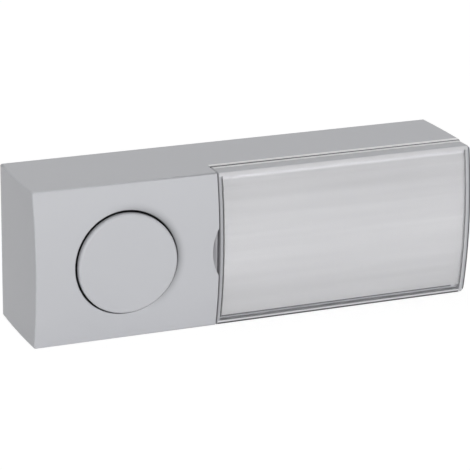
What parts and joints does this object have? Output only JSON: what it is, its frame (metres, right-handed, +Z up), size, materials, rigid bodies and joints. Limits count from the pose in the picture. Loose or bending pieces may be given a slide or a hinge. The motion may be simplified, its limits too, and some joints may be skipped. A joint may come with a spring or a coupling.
{
  "type": "illuminated doorbell button",
  "caption": "Long surface-mounted bell push: round spring-loaded button at one end, lit name card under a clip-on clear cover at the other, switch and lamp inside.",
  "frame": {"origin": "centre of the flat back face, which rests on the wall", "axes": "+X to the right along the length, +Y into the wall, +Z up; the front looks towards -Y"},
  "size_m": [0.0886, 0.0215, 0.03],
  "materials": {
    "housing_paint": "satin silver-grey paint on a moulded shell",
    "button_paint": "satin silver-grey paint, like the housing",
    "clear_plastic": "clear polished plastic",
    "card": "smooth pale card, plain",
    "opal_plastic": "opal translucent plastic",
    "plate_plastic": "light grey moulded plastic",
    "frame_plastic": "off-white moulded plastic",
    "spring_steel": "drawn spring steel",
    "contact_brass": "stamped sheet brass",
    "contact_silver": "silver contact buttons",
    "plated_steel": "zinc-plated steel",
    "grommet_rubber": "black rubber",
    "lamp_glass": "clear glass tube",
    "lamp_cap_metal": "nickel-plated caps",
    "filament_metal": "drawn wire"
  },
  "bodies": {
    "root": {"front_housing": "housing_paint", "base_plate": "plate_plastic", "name_card": "card", "light_diffuser": "opal_plastic", "return_spring": "spring_steel", "switch_frame": "frame_plastic", "contact_strip_upper": "contact_brass", "contact_strip_lower": "contact_brass", "fixed_contacts": "contact_silver", "clamp_plate_upper": "plated_steel", "clamp_plate_lower": "plated_steel", "terminal_screws": "plated_steel", "housing_screws": "plated_steel", "cable_grommet": "grommet_rubber", "lamp_glass": "lamp_glass", "lamp_cap_left": "lamp_cap_metal", "lamp_cap_right": "lamp_cap_metal", "lamp_filament": "filament_metal"},
    "button": {"button_cap": "button_paint", "plunger": "frame_plastic", "contact_bridge": "contact_brass", "bridge_contacts": "contact_silver", "bridge_retainer": "spring_steel"},
    "cover": {"clear_cover": "clear_plastic"}
  },
  "joints": [
    {"name": "button_press", "type": "slide", "parent": "root", "child": "button", "axis": [0, 1, 0], "range_m": [0, 0.0015], "stiffness_N_per_m": 540, "springref_m": -0.002, "deforming": ["return_spring"]},
    {"name": "cover_lift", "type": "slide", "parent": "root", "child": "cover", "axis": [0, -1, 0], "range_m": [0, 0.012]}
  ]
}
